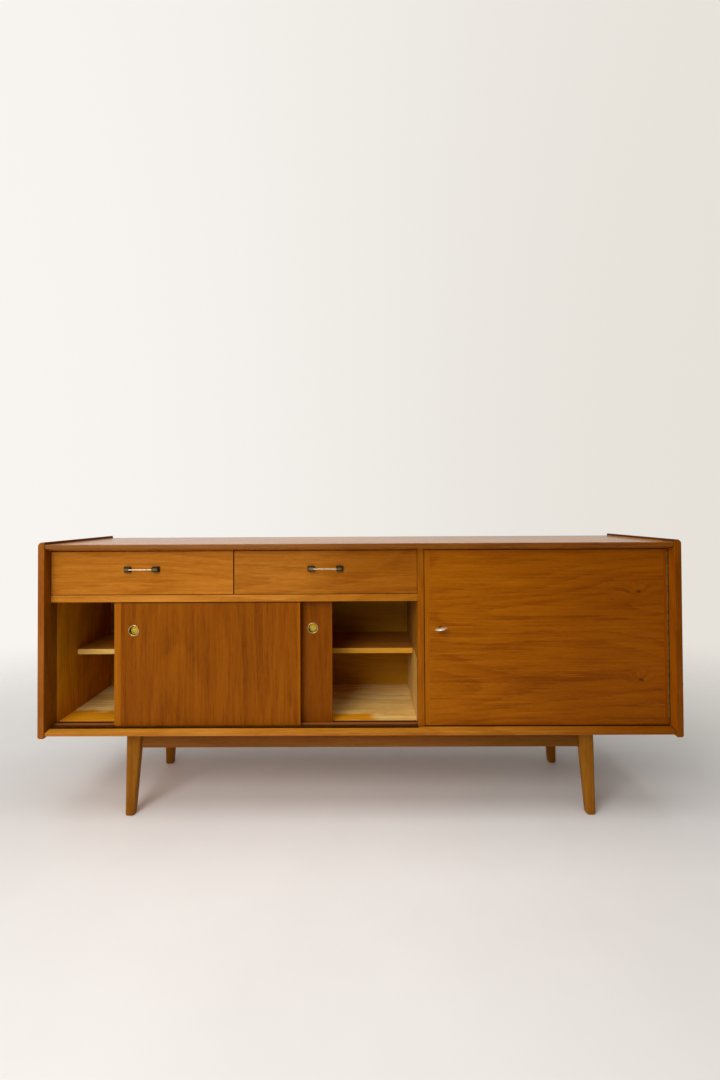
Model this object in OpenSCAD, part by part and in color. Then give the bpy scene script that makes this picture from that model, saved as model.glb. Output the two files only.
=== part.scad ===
// Sideboard buffet: two drawers over a bay with sliding doors, a hinged
// cupboard beside them, on a frame with four splayed tapered legs.
// Millimetres. X runs along the front, Y goes from the front to the back, Z is up.
// The origin is on the floor under the middle of the case.

/* [Case] */
// Overall width of the case
case_w = 2000; // [1800:10:2200]
// Overall depth of the case
case_d = 450; // [430:5:480]
// Height of the side panels' top edge above the floor
case_h = 870; // [840:5:900]
// Height of the side panels' bottom edge above the floor
leg_h = 260; // [240:5:280]
// Thickness of the side panels and of the centre divider
panel_t = 20; // [18:1:24]
// Thickness of the top panel
top_t = 22; // [20:1:26]
// Thickness of the bottom panel
bottom_t = 16; // [15:1:19]
// How far the side panels rise above the top panel
lip_top = 8; // [5:1:12]
// How far the side panels hang below the bottom panel
lip_bottom = 7; // [5:1:10]
// How far the fronts sit back from the side panels' front edges
front_recess = 35; // [34:1:40]
// Clear width of the bay behind the sliding doors
bay_w = 1166; // [1120:2:1180]

/* [Drawers] */
// Clear height of the drawer space
drawer_space = 141; // [130:1:150]
// Thickness of the drawer fronts
drawer_front_t = 20; // [18:1:22]
// Thickness of the drawer sides
drawer_side_t = 13; // [12:1:15]
// Thickness of the deck below the drawers
deck_t = 22; // [22:1:26]
// Height of the pulls' axis above the floor
pull_z = 781; // [775:1:785]
// Distance between the centres of a pull's two blocks
pull_spacing = 92; // [80:2:110]

/* [Sliding doors] */
// Width of each sliding door
slide_w = 592; // [585:1:592]
// Thickness of each sliding door
slide_t = 16; // [15:1:18]
// How far the left door is drawn right of its closed place
left_open = 200; // [0:1:370]
// How far the right door is drawn left of its closed place
right_open = 272; // [0:1:370]
// Outer radius of the finger pull's rim
cup_r = 17.5; // [16:0.5:19]

/* [Cupboard door] */
// Thickness of the cupboard door
door_t = 19; // [18:1:20]
// Height of the key's axis above the floor
key_z = 592; // [585:1:600]
// Distance from the door's free edge to the key's axis
key_inset = 49; // [46:1:54]
// Angle of the key's bow to the horizontal
key_tilt = 9; // [0:1:15]
// Travel of the lock bolt
bolt_throw = 10; // [8:1:11]

/* [Legs] */
// Distance from the middle to a leg's outer face
leg_outer_x = 745; // [700:1:780]
// Width of a leg at its top
leg_top_w = 49; // [44:1:54]
// Width of a leg at its foot
leg_foot_w = 28; // [28:1:36]
// Depth of a leg
leg_depth = 30; // [28:1:34]
// Distance of the leg's front face from the case front, at the top
leg_set_back = 50; // [45:1:60]
// How far a foot stands forward of the leg's top
leg_splay = 11; // [6:1:16]
// Height of the aprons
apron_h = 60; // [50:1:70]

/* [Hidden] */
$fn = 48;

// Planes of the case
front = -case_d / 2;
rear = case_d / 2;
side_in = case_w / 2 - panel_t;
top_z1 = case_h - lip_top;
top_z0 = top_z1 - top_t;
floor_z0 = leg_h + lip_bottom;
floor_z1 = floor_z0 + bottom_t;
deck_z1 = top_z0 - drawer_space;
deck_z0 = deck_z1 - deck_t;
bay_x0 = -side_in;
bay_x1 = bay_x0 + bay_w;
bay_mid = (bay_x0 + bay_x1) / 2;
divider_x1 = bay_x1 + panel_t;
front_y = front + front_recess;
nose_y = front + 2;
back_t = 6;
back_y = rear - 14;
gap = 2.5;

// Moulding along the front edges of the top and bottom panels
top_nose_h = 13;
bottom_nose_h = 11;
side_corner_r = 13;
edge_r = 3;
joint_v = 1.2;

// Sliding door tracks: grooves as wide as the doors' tongues plus clearance
front_slide_y = front_y + 4;
track_y0 = front_slide_y - 2;
track_w = 46;
slide_pitch = 27;
tongue_t = 10;
tongue_back = 3;
groove_clear = 0.5;
bottom_groove = 5;
top_groove = 12;
track_base_t = 3;
top_track_t = top_groove + 2;
slide_z0 = floor_z1 + 2;
slide_z1 = deck_z0 - 4;
tongue_z0 = floor_z1 - bottom_groove + 0.5;
tongue_z1 = deck_z0 + 7;
slide_edge_outer = 21;
slide_edge_inner = 8;
cup_inset = 62;
cup_z = 586;
cup_hole_r = cup_r - 2.2;
cup_depth = 9;
rim_h = 1.6;
left_slide_x0 = bay_x0 + 1 + left_open;
right_slide_x1 = bay_x1 - 1 - right_open;

// Partitions and shelves
partition_t = 16;
partition_y = track_y0 + track_w + 4;
shelf_t = 18;
shelf_z0 = 471;
shelf_front = front + 190;
cupboard_shelf_z0 = 552;
cupboard_shelf_front = front + 80;
shelf_clear = 1.5;
shelf_pin_r = 2.5;
shelf_pin_out = 9;
shelf_pin_in = 8;

// Drawer box, drawn for the right drawer as distances from the bay's middle
box_u0 = partition_t / 2 + 2;
box_u1 = bay_w / 2 - 2;
front_u0 = 2;
front_u1 = bay_w / 2 - 2;
box_y0 = front_y + drawer_front_t;
box_y1 = back_y - 11;
box_z0 = deck_z1 + 6;
box_z1 = top_z0 - 20;
drawer_back_t = 12;
ply_t = 5;
ply_z = box_z0 + 7;
ply_let_in = 6;
runner_z = (box_z0 + box_z1) / 2;
runner_h = 15;
runner_let_in = 7;
runner_clear = 0.5;
runner_y0 = box_y0 + 1;
runner_y1 = box_y1 - 30;

// Drawer pulls
pull_u = (front_u0 + front_u1) / 2;
block_in = pull_spacing / 2 - 11;
block_out = pull_spacing / 2 + 11;
block_h = 19;
block_d = 15;
block_tip_d = 9;
block_taper = 3;
bar_t = 2.5;
bar_h = 5;
bar_flare = 6;
bar_end_h = 11;
bar_inset = 2;
pull_screw_r = 2;
pull_screw_in = 9;
pull_head_r = 4;
pull_head_h = 2.2;

// Cupboard door, its piano hinge and its lock
door_x0 = divider_x1 + gap;
hinge_r = 3;
hinge_x = side_in - hinge_r;
hinge_y = front_y + 1.5;
door_x1 = hinge_x - hinge_r;
door_z0 = floor_z1 + gap;
door_z1 = top_z0 - gap;
door_edge_free = 15;
door_edge_hinge = 10;
hinge_pin_r = 1.2;
hinge_bore_r = 1.25;
leaf_t = 1;
leaf_w = door_t - 1.5;
knuckle_count = 36;
knuckle_gap = 0.4;
hinge_end = 6;
hinge_z0 = door_z0 + hinge_end;
hinge_len = door_z1 - door_z0 - 2 * hinge_end;
knuckle_pitch = hinge_len / knuckle_count;
hinge_screw_count = 9;
hinge_screw_r = 1.5;
hinge_screw_len = 9;
hinge_head_r = 2.8;
hinge_head_h = 0.8;
hinge_screw_y = hinge_y + 11;
key_x = door_x0 + key_inset;
lock_y0 = front_y + door_t;
lock_d = 11;
lock_x0 = door_x0 + 2;
lock_w = 62;
lock_h = 52;
lock_z0 = key_z - 22;
bolt_len = 36;
bolt_h = 12;
bolt_d = 6;
bolt_clear = 0.3;
bolt_y = lock_y0 + 3;
bolt_z0 = key_z + 9;
key_r = 3;
key_bore_r = 3.05;
keyhole_r = 5;
keyhole_slot = 4;
keyhole_drop = 12;
key_bit = 6.5;
key_bit_t = 2.5;
bow_w = 39;
bow_d = 28;
bow_t = 5;
bow_y = front + 1;
strike_t = 1.5;
strike_margin = 12;
mortise_in = bolt_throw - 1;

// Leg frame
foot_r = 5;
leg_edge_r = 4;
leg_top_z = floor_z0 - 1;
apron_t = 18;
apron_set_back = 8;
glue_gap = 0.1;

module along_x(x0, x1)
    translate([x0, 0, 0]) rotate([90, 0, 90]) linear_extrude(x1 - x0) children();

module along_y(y0, y1)
    translate([0, y1, 0]) rotate([90, 0, 0]) linear_extrude(y1 - y0) children();

module board(x0, x1, y0, y1, z0, z1)
    translate([x0, y0, z0]) cube([x1 - x0, y1 - y0, z1 - z0]);

module rod_x(x0, x1, y, z, r)
    translate([x0, y, z]) rotate([0, 90, 0]) cylinder(h = x1 - x0, r = r);

module rod_y(x, y0, y1, z, r)
    translate([x, y1, z]) rotate([90, 0, 0]) cylinder(h = y1 - y0, r = r);

module rod_z(x, y, z0, z1, r)
    translate([x, y, z0]) cylinder(h = z1 - z0, r = r);

// A rectangle with its own radius at each corner, anticlockwise from the lower left
module round_corners(x0, x1, y0, y1, r) {
    corners = [[x0, y0, 1, 1, r[0]], [x1, y0, -1, 1, r[1]],
               [x1, y1, -1, -1, r[2]], [x0, y1, 1, -1, r[3]]];
    difference() {
        translate([x0, y0]) square([x1 - x0, y1 - y0]);
        for (c = corners)
            difference() {
                translate([c[0] + c[2] * c[4] / 2, c[1] + c[3] * c[4] / 2])
                    square(c[4] + 0.001, center = true);
                translate([c[0] + c[2] * c[4], c[1] + c[3] * c[4]]) circle(r = c[4]);
            }
    }
}

// ---- Case ----

module right_side_shape()
    along_y(front, rear)
        round_corners(side_in, case_w / 2, leg_h, case_h,
                      [edge_r, side_corner_r / 2, side_corner_r, edge_r]);

module left_side_panel()
    color("sienna") difference() {
        mirror([1, 0, 0]) right_side_shape();
        pin_holes(bay_x0, -1, bay_pin_ys, shelf_z0);
    }

module right_side_panel()
    color("sienna") difference() {
        right_side_shape();
        pin_holes(side_in, 1, cupboard_pin_ys, cupboard_shelf_z0);
        for (z = hinge_screw_zs)
            rod_x(side_in - 1, side_in + hinge_screw_len, hinge_screw_y, z, hinge_screw_r);
    }

module top_panel()
    color("peru") along_x(-side_in, side_in) polygon([
        [nose_y, top_z1 - joint_v], [nose_y + joint_v, top_z1], [rear, top_z1], [rear, top_z0],
        [front_y - 2, top_z0], [nose_y + joint_v, top_z1 - top_nose_h],
        [nose_y, top_z1 - top_nose_h + joint_v]
    ]);

module bottom_panel()
    color("peru") difference() {
        along_x(-side_in, side_in) polygon([
            [nose_y, floor_z0 + joint_v], [nose_y + joint_v, floor_z0], [rear, floor_z0],
            [rear, floor_z1], [front_y - 3, floor_z1],
            [nose_y + joint_v, floor_z0 + bottom_nose_h], [nose_y, floor_z0 + bottom_nose_h - joint_v]
        ]);
        board(bay_x0 - 1, bay_x1, track_y0, track_y0 + track_w,
              floor_z1 - bottom_groove - track_base_t, floor_z1 + 1);
    }

module centre_divider()
    color("peru") difference() {
        board(bay_x1, divider_x1, front_y, back_y, floor_z1, top_z0);
        pin_holes(bay_x1, 1, bay_pin_ys, shelf_z0);
        pin_holes(divider_x1, -1, cupboard_pin_ys, cupboard_shelf_z0);
        board(divider_x1 - mortise_in, divider_x1 + 1, bolt_y - 1, bolt_y + bolt_d + 1,
              bolt_z0 - 2, bolt_z0 + bolt_h + 2);
        board(divider_x1 - strike_t, divider_x1 + 1, lock_y0, lock_y0 + lock_d + 1,
              bolt_z0 - strike_margin, bolt_z0 + bolt_h + strike_margin);
    }

module drawer_deck()
    color("goldenrod") difference() {
        board(bay_x0, bay_x1, front_y, back_y, deck_z0, deck_z1);
        board(bay_x0 - 1, bay_x1 + 1, front_slide_y - 1, track_y0 + track_w,
              deck_z0 - 1, deck_z0 + top_track_t);
    }

module bay_partition()
    color("burlywood") difference() {
        board(bay_mid - partition_t / 2, bay_mid + partition_t / 2, partition_y, back_y,
              floor_z1, deck_z0);
        for (side = [-1, 1])
            pin_holes(bay_mid + side * partition_t / 2, -side, bay_pin_ys, shelf_z0);
    }

module drawer_partition()
    color("burlywood")
        board(bay_mid - partition_t / 2, bay_mid + partition_t / 2, box_y0 + 0.5, back_y,
              deck_z1, top_z0);

module left_back_panel()
    color("tan")
        board(bay_x0, bay_x1 + panel_t / 2, back_y, back_y + back_t, floor_z1, top_z0);

module right_back_panel()
    color("tan")
        board(bay_x1 + panel_t / 2, side_in, back_y, back_y + back_t, floor_z1, top_z0);

// ---- Tracks of the sliding doors ----

// Front faces of the front and the rear sliding door
slide_ys = [front_slide_y, front_slide_y + slide_pitch];

module track_grooves(z0, z1)
    for (y = slide_ys)
        board(bay_x0 - 1, bay_x1 + 1, y + tongue_back - groove_clear,
              y + tongue_back + tongue_t + groove_clear, z0, z1);

module bottom_track()
    color("saddlebrown") difference() {
        board(bay_x0, bay_x1, track_y0, track_y0 + track_w,
              floor_z1 - bottom_groove - track_base_t, floor_z1);
        track_grooves(floor_z1 - bottom_groove, floor_z1 + 1);
    }

module top_track()
    color("saddlebrown") difference() {
        board(bay_x0, bay_x1, front_slide_y - 1, track_y0 + track_w,
              deck_z0, deck_z0 + top_track_t);
        track_grooves(deck_z0 - 1, deck_z0 + top_groove);
    }

// ---- Shelves and their pins ----

// Depths of the two pins at each end of a shelf
function pin_ys(y0) = [y0 + 35, back_y - 40];
bay_pin_ys = pin_ys(shelf_front);
cupboard_pin_ys = pin_ys(cupboard_shelf_front);

// Holes going into a panel from the face at x, towards dir
module pin_holes(x, dir, ys, z)
    for (y = ys)
        rod_x(min(x - dir, x + dir * shelf_pin_in), max(x - dir, x + dir * shelf_pin_in),
              y, z - shelf_pin_r, shelf_pin_r);

// Pins seated in a panel's face at x and reaching out of it, away from dir
module pins(x, dir, ys, z)
    for (y = ys)
        rod_x(min(x + dir * shelf_pin_in, x - dir * shelf_pin_out),
              max(x + dir * shelf_pin_in, x - dir * shelf_pin_out),
              y, z - shelf_pin_r, shelf_pin_r);

module shelf(x0, x1, y0, z0)
    board(x0 + shelf_clear, x1 - shelf_clear, y0, back_y - 1, z0, z0 + shelf_t);

module left_bay_shelf()
    color("burlywood") shelf(bay_x0, bay_mid - partition_t / 2, shelf_front, shelf_z0);

module right_bay_shelf()
    color("burlywood") shelf(bay_mid + partition_t / 2, bay_x1, shelf_front, shelf_z0);

module cupboard_shelf()
    color("burlywood") shelf(divider_x1, side_in, cupboard_shelf_front, cupboard_shelf_z0);

module shelf_pins()
    color("gold") {
        pins(bay_x0, -1, bay_pin_ys, shelf_z0);
        pins_through();
        pins(bay_x1, 1, bay_pin_ys, shelf_z0);
        pins(divider_x1, -1, cupboard_pin_ys, cupboard_shelf_z0);
        pins(side_in, 1, cupboard_pin_ys, cupboard_shelf_z0);
    }

// The thin partition's pins go right through and carry a shelf on each side
module pins_through()
    for (y = bay_pin_ys)
        rod_x(bay_mid - partition_t / 2 - shelf_pin_out, bay_mid + partition_t / 2 + shelf_pin_out,
              y, shelf_z0 - shelf_pin_r, shelf_pin_r);

// ---- Drawers ----

// Moves a drawer piece from its own place onto the left or the right drawer
module at_drawer(left)
    if (left) translate([bay_mid, 0, 0]) mirror([1, 0, 0]) children();
    else translate([bay_mid, 0, 0]) children();

// Both of a drawer's runners, which the drawer sides' grooves slide along
module runner_pair()
    for (run = [[partition_t / 2, box_u0 + runner_let_in - 1],
                [box_u1 - runner_let_in + 1, bay_w / 2]])
        board(run[0], run[1], runner_y0, runner_y1,
              runner_z - runner_h / 2, runner_z + runner_h / 2);

module drawer_runners()
    color("burlywood")
        for (left = [true, false])
            at_drawer(left) runner_pair();

module drawer_front()
    difference() {
        board(front_u0, front_u1, front_y, box_y0, deck_z1 + gap, top_z0 - gap);
        pull_holes(front_y - 1, box_y0 + 1);
        board(box_u0 + drawer_side_t - ply_let_in, box_u1 - drawer_side_t + ply_let_in,
              box_y0 - ply_let_in, box_y0 + 1, ply_z, ply_z + ply_t);
    }

// One side of a drawer box; out is the side the runner is on
module drawer_side(u0, out) {
    u1 = u0 + drawer_side_t;
    groove_u0 = out > 0 ? u1 - runner_let_in : u0 - 1;
    groove_u1 = out > 0 ? u1 + 1 : u0 + runner_let_in;
    ply_u0 = out > 0 ? u0 - 1 : u1 - ply_let_in;
    ply_u1 = out > 0 ? u0 + ply_let_in : u1 + 1;
    difference() {
        board(u0, u1, box_y0, box_y1, box_z0, box_z1);
        board(groove_u0, groove_u1, box_y0 - 1, box_y1 + 1,
              runner_z - runner_h / 2 - runner_clear, runner_z + runner_h / 2 + runner_clear);
        board(ply_u0, ply_u1, box_y0 - 1, box_y1 + 1, ply_z, ply_z + ply_t);
    }
}

module drawer_back()
    board(box_u0 + drawer_side_t, box_u1 - drawer_side_t, box_y1 - drawer_back_t, box_y1,
          ply_z + ply_t, box_z1 - 8);

module drawer_bottom()
    board(box_u0 + drawer_side_t - ply_let_in, box_u1 - drawer_side_t + ply_let_in,
          box_y0 - ply_let_in, box_y1, ply_z, ply_z + ply_t);

// ---- Drawer pulls ----

module at_blocks()
    for (side = [-1, 1])
        translate([pull_u + side * pull_spacing / 2, 0, 0]) children();

module pull_holes(y0, y1)
    at_blocks() rod_y(0, y0, y1, pull_z, pull_screw_r);

// Depth of a block's front face, which slopes back from its inner to its outer end
function block_face(x) = block_d - (block_d - block_tip_d) * (x - block_in) / (block_out - block_in);

// The block at the pull's right end; the other one is its mirror image
module pull_block() {
    front_x = block_out - block_taper;
    z0 = pull_z - block_h / 2;
    z1 = pull_z + block_h / 2;
    intersection() {
        translate([0, front_y, z0]) linear_extrude(block_h) polygon([
            [block_in, 0], [block_in, -block_d], [front_x, -block_face(front_x)], [block_out, 0]
        ]);
        along_x(block_in - 1, block_out + 1) polygon([
            [front_y, z0], [front_y - block_d, z0 + block_taper],
            [front_y - block_d, z1 - block_taper], [front_y, z1]
        ]);
    }
}

module pull_blocks()
    difference() {
        translate([pull_u, 0, 0])
            for (side = [0, 1]) mirror([side, 0, 0]) pull_block();
        pull_holes(front_y - pull_screw_in, front_y + 1);
    }

// A strip whose ends lie on the blocks' sloping faces and widen into plates
module pull_bar() {
    tip = block_out - block_taper - bar_inset;
    upper = [[block_in, bar_h / 2], [block_in + bar_flare, bar_end_h / 2], [tip, bar_end_h / 2]];
    right_end = concat(upper, [for (i = [len(upper) - 1:-1:0]) [upper[i][0], -upper[i][1]]]);
    back = [[tip, -block_face(tip)], [block_in, -block_d], [-block_in, -block_d],
            [-tip, -block_face(tip)]];
    fore = [for (i = [len(back) - 1:-1:0]) back[i] - [0, bar_t]];
    translate([pull_u, front_y, pull_z]) intersection() {
        along_y(-block_d - bar_t - 1, 0) polygon(concat(right_end, -right_end));
        translate([0, 0, -bar_end_h]) linear_extrude(2 * bar_end_h) polygon(concat(back, fore));
    }
}

module pull_screws()
    at_blocks() {
        rod_y(0, front_y - pull_screw_in, box_y0, pull_z, pull_screw_r);
        rod_y(0, box_y0, box_y0 + pull_head_h, pull_z, pull_head_r);
    }

module left_drawer_front() color("chocolate") at_drawer(true) drawer_front();
module left_drawer_outer_side()
    color("burlywood") at_drawer(true) drawer_side(box_u1 - drawer_side_t, 1);
module left_drawer_inner_side() color("burlywood") at_drawer(true) drawer_side(box_u0, -1);
module left_drawer_back() color("burlywood") at_drawer(true) drawer_back();
module left_drawer_bottom() color("tan") at_drawer(true) drawer_bottom();
module left_drawer_pull_blocks() color("black") at_drawer(true) pull_blocks();
module left_drawer_pull_bar() color("silver") at_drawer(true) pull_bar();
module left_drawer_pull_screws() color("gray") at_drawer(true) pull_screws();

module right_drawer_front() color("chocolate") at_drawer(false) drawer_front();
module right_drawer_outer_side()
    color("burlywood") at_drawer(false) drawer_side(box_u1 - drawer_side_t, 1);
module right_drawer_inner_side() color("burlywood") at_drawer(false) drawer_side(box_u0, -1);
module right_drawer_back() color("burlywood") at_drawer(false) drawer_back();
module right_drawer_bottom() color("tan") at_drawer(false) drawer_bottom();
module right_drawer_pull_blocks() color("black") at_drawer(false) pull_blocks();
module right_drawer_pull_bar() color("silver") at_drawer(false) pull_bar();
module right_drawer_pull_screws() color("gray") at_drawer(false) pull_screws();

// ---- Sliding doors ----

// A door's section from u0 to u1, with the tongues that run in the tracks
module slide_section(y, u0, u1)
    along_x(u0, u1) polygon([
        [y, slide_z0], [y + tongue_back, slide_z0], [y + tongue_back, tongue_z0],
        [y + tongue_back + tongue_t, tongue_z0], [y + tongue_back + tongue_t, slide_z0],
        [y + slide_t, slide_z0], [y + slide_t, slide_z1],
        [y + tongue_back + tongue_t, slide_z1], [y + tongue_back + tongue_t, tongue_z1],
        [y + tongue_back, tongue_z1], [y + tongue_back, slide_z1], [y, slide_z1]
    ]);

module slide_panel(y, x0, x1, cup_x)
    difference() {
        slide_section(y, x0, x1);
        rod_y(cup_x, y - 1, y + cup_depth, cup_z, cup_hole_r);
    }

// A flush cup with a rolled rim, turned about the pull's axis
module finger_pull(y, cup_x)
    translate([cup_x, y, cup_z]) rotate([-90, 0, 0]) rotate_extrude() {
        difference() {
            square([cup_hole_r, cup_depth]);
            translate([0, -1]) square([cup_hole_r - 3, cup_depth]);
            translate([cup_hole_r - 3, -1]) square([2, cup_depth - 2]);
            translate([cup_hole_r - 3, cup_depth - 3]) circle(r = 2);
        }
        translate([cup_hole_r - 1, -rim_h]) square([cup_r - cup_hole_r + 1, rim_h]);
    }

module left_sliding_door()
    color("sienna") slide_panel(slide_ys[0], left_slide_x0 + slide_edge_outer,
                                left_slide_x0 + slide_w - slide_edge_inner,
                                left_slide_x0 + cup_inset);
module left_sliding_door_edges()
    color("chocolate") {
        slide_section(slide_ys[0], left_slide_x0, left_slide_x0 + slide_edge_outer);
        slide_section(slide_ys[0], left_slide_x0 + slide_w - slide_edge_inner,
                      left_slide_x0 + slide_w);
    }
module left_finger_pull() color("gold") finger_pull(slide_ys[0], left_slide_x0 + cup_inset);

module right_sliding_door()
    color("sienna") slide_panel(slide_ys[1], right_slide_x1 - slide_w + slide_edge_outer,
                                right_slide_x1 - slide_edge_inner,
                                right_slide_x1 - cup_inset);
module right_sliding_door_edges()
    color("chocolate") {
        slide_section(slide_ys[1], right_slide_x1 - slide_w,
                      right_slide_x1 - slide_w + slide_edge_outer);
        slide_section(slide_ys[1], right_slide_x1 - slide_edge_inner, right_slide_x1);
    }
module right_finger_pull() color("gold") finger_pull(slide_ys[1], right_slide_x1 - cup_inset);

// ---- Cupboard door and piano hinge ----

hinge_screw_zs = [for (i = [0:hinge_screw_count - 1])
    hinge_z0 + hinge_len * (i + 0.5) / hinge_screw_count];

module cupboard_door()
    color("brown") difference() {
        board(door_x0 + door_edge_free, door_x1 - door_edge_hinge, front_y, front_y + door_t,
              door_z0, door_z1);
        rod_y(key_x, front_y - 1, front_y + door_t + 1, key_z, keyhole_r);
        board(key_x - keyhole_slot / 2, key_x + keyhole_slot / 2, front_y - 1,
              front_y + door_t + 1, key_z - keyhole_drop, key_z);
    }

module cupboard_door_edges()
    color("chocolate") {
        board(door_x0, door_x0 + door_edge_free, front_y, front_y + door_t, door_z0, door_z1);
        difference() {
            board(door_x1 - door_edge_hinge, door_x1, front_y, front_y + door_t,
                  door_z0, door_z1);
            for (z = hinge_screw_zs)
                rod_x(door_x1 - hinge_screw_len, door_x1 + 1, hinge_screw_y, z, hinge_screw_r);
        }
    }

// Knuckles numbered from the bottom; a leaf has every other one
module knuckles(first)
    for (i = [first:2:knuckle_count - 1])
        rod_z(hinge_x, hinge_y, hinge_z0 + i * knuckle_pitch + knuckle_gap / 2,
              hinge_z0 + (i + 1) * knuckle_pitch - knuckle_gap / 2, hinge_r);

// Room around the other leaf's knuckles
module knuckle_room(first)
    for (i = [first:2:knuckle_count - 1])
        rod_z(hinge_x, hinge_y, hinge_z0 + i * knuckle_pitch - knuckle_gap / 2,
              hinge_z0 + (i + 1) * knuckle_pitch + knuckle_gap / 2, hinge_r + knuckle_gap);

// x0 and x1 are the leaf plate's faces; first is its lowest knuckle
module hinge_leaf(x0, x1, first)
    difference() {
        union() {
            knuckles(first);
            board(x0, x1, hinge_y, hinge_y + leaf_w, hinge_z0, hinge_z0 + hinge_len);
        }
        knuckle_room(1 - first);
        rod_z(hinge_x, hinge_y, hinge_z0 - 1, hinge_z0 + hinge_len + 1, hinge_bore_r);
        for (z = hinge_screw_zs)
            rod_x(x0 - 1, x1 + 1, hinge_screw_y, z, hinge_screw_r);
    }

module hinge_case_leaf()
    color("darkgoldenrod") hinge_leaf(side_in - leaf_t, side_in, 0);

module hinge_door_leaf()
    color("darkgoldenrod") hinge_leaf(door_x1, door_x1 + leaf_t, 1);

module hinge_pin()
    color("darkgoldenrod")
        rod_z(hinge_x, hinge_y, hinge_z0, hinge_z0 + hinge_len, hinge_pin_r);

module hinge_case_screws()
    color("darkgoldenrod") for (z = hinge_screw_zs) {
        rod_x(side_in - leaf_t, side_in + hinge_screw_len, hinge_screw_y, z, hinge_screw_r);
        rod_x(side_in - leaf_t - hinge_head_h, side_in - leaf_t, hinge_screw_y, z, hinge_head_r);
    }

module hinge_door_screws()
    color("darkgoldenrod") for (z = hinge_screw_zs) {
        rod_x(door_x1 - hinge_screw_len, door_x1 + leaf_t, hinge_screw_y, z, hinge_screw_r);
        rod_x(door_x1 + leaf_t, door_x1 + leaf_t + hinge_head_h, hinge_screw_y, z, hinge_head_r);
    }

module door_stop()
    color("burlywood") board(door_x0, door_x0 + 40, lock_y0 + 0.5, lock_y0 + 12,
                             top_z0 - 14, top_z0);

// ---- Lock ----

module lock_case()
    color("dimgray") difference() {
        board(lock_x0, lock_x0 + lock_w, lock_y0, lock_y0 + lock_d, lock_z0, lock_z0 + lock_h);
        board(lock_x0 - 1, lock_x0 + bolt_len + bolt_clear, bolt_y - bolt_clear,
              bolt_y + bolt_d + bolt_clear, bolt_z0 - bolt_clear, bolt_z0 + bolt_h + bolt_clear);
        rod_y(key_x, lock_y0 - 1, lock_y0 + 2, key_z, keyhole_r);
        rod_y(key_x, bolt_y - bolt_clear, bolt_y + bolt_d, key_z, key_bit + 1);
        rod_y(key_x, bolt_y, lock_y0 + lock_d + 1, key_z, key_bore_r);
        rod_y(key_x, lock_y0 + 1, bolt_y, key_z, key_bore_r);
    }

module lock_bolt()
    color("silver") board(lock_x0, lock_x0 + bolt_len, bolt_y, bolt_y + bolt_d,
                          bolt_z0, bolt_z0 + bolt_h);

module strike_plate()
    color("silver") difference() {
        board(divider_x1 - strike_t, divider_x1, lock_y0, lock_y0 + lock_d + 1,
              bolt_z0 - strike_margin, bolt_z0 + bolt_h + strike_margin);
        board(divider_x1 - strike_t - 1, divider_x1 + 1, bolt_y - 1, bolt_y + bolt_d + 1,
              bolt_z0 - 2, bolt_z0 + bolt_h + 2);
    }

// The key: a lens-shaped bow, a collar, the shank and the bit
module key() {
    lens_r = (bow_w * bow_w + bow_d * bow_d) / (4 * bow_d);
    lens_y = bow_d / 2 - lens_r;
    color("silver") translate([key_x, 0, key_z]) rotate([0, -key_tilt, 0]) {
        translate([0, bow_y + bow_d / 2, -bow_t / 2]) linear_extrude(bow_t)
            intersection() {
                translate([0, lens_y]) circle(r = lens_r, $fn = 96);
                translate([0, -lens_y]) circle(r = lens_r, $fn = 96);
            }
        rod_y(0, bow_y + bow_d - 4, lock_y0 + lock_d, 0, key_r);
        rod_y(0, bow_y + bow_d - 1, bow_y + bow_d + 3, 0, key_r + 1.5);
        board(0, key_bit, bolt_y + 0.5, bolt_y + bolt_d - 0.5, -key_bit_t / 2, key_bit_t / 2);
    }
}

// ---- Leg frame ----

// The lower half of a ball, resting on the plane below it
module ball_foot(r)
    rotate_extrude($fn = 32) intersection() {
        translate([0, r]) circle(r = r, $fn = 32);
        square([r, r]);
    }

// The front left leg; its outer face stands upright and its inner face tapers
module leg_shape() {
    foot_y0 = front + leg_set_back - leg_splay;
    top_y0 = front + leg_set_back;
    hull() {
        for (x = [foot_r, leg_foot_w - foot_r])
            for (y = [foot_r, leg_depth - foot_r])
                translate([x - leg_outer_x, foot_y0 + y, 0]) ball_foot(foot_r);
        for (x = [leg_edge_r, leg_top_w - leg_edge_r])
            for (y = [leg_edge_r, leg_depth - leg_edge_r])
                translate([x - leg_outer_x, top_y0 + y, leg_top_z])
                    cylinder(h = floor_z0 - leg_top_z, r = leg_edge_r, $fn = 32);
    }
}

module front_left_leg() color("sienna") leg_shape();
module front_right_leg() color("sienna") mirror([1, 0, 0]) leg_shape();
module rear_left_leg() color("sienna") mirror([0, 1, 0]) leg_shape();
module rear_right_leg() color("sienna") mirror([1, 0, 0]) mirror([0, 1, 0]) leg_shape();

// How far a leg's face has gone from its place at the top to its place at the foot, at height z
function leg_share(z) = (leg_top_z - z) / (leg_top_z - foot_r);

// Half-lengths of the aprons between the legs' faces, at height z
function long_half(z) =
    leg_outer_x - leg_top_w + (leg_top_w - leg_foot_w) * leg_share(z) - glue_gap;
function side_half(z) =
    case_d / 2 - leg_set_back - leg_depth + leg_splay * leg_share(z) - glue_gap;

module apron_section(half_top, half_low) {
    z0 = floor_z0 - apron_h;
    polygon([[-half_low, z0], [half_low, z0], [half_top, floor_z0], [-half_top, floor_z0]]);
}

module front_apron_shape() {
    y0 = front + leg_set_back + apron_set_back;
    along_y(y0, y0 + apron_t)
        apron_section(long_half(leg_top_z), long_half(floor_z0 - apron_h));
}

module side_apron_shape() {
    x0 = -leg_outer_x + apron_set_back;
    along_x(x0, x0 + apron_t)
        apron_section(side_half(leg_top_z), side_half(floor_z0 - apron_h));
}

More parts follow.
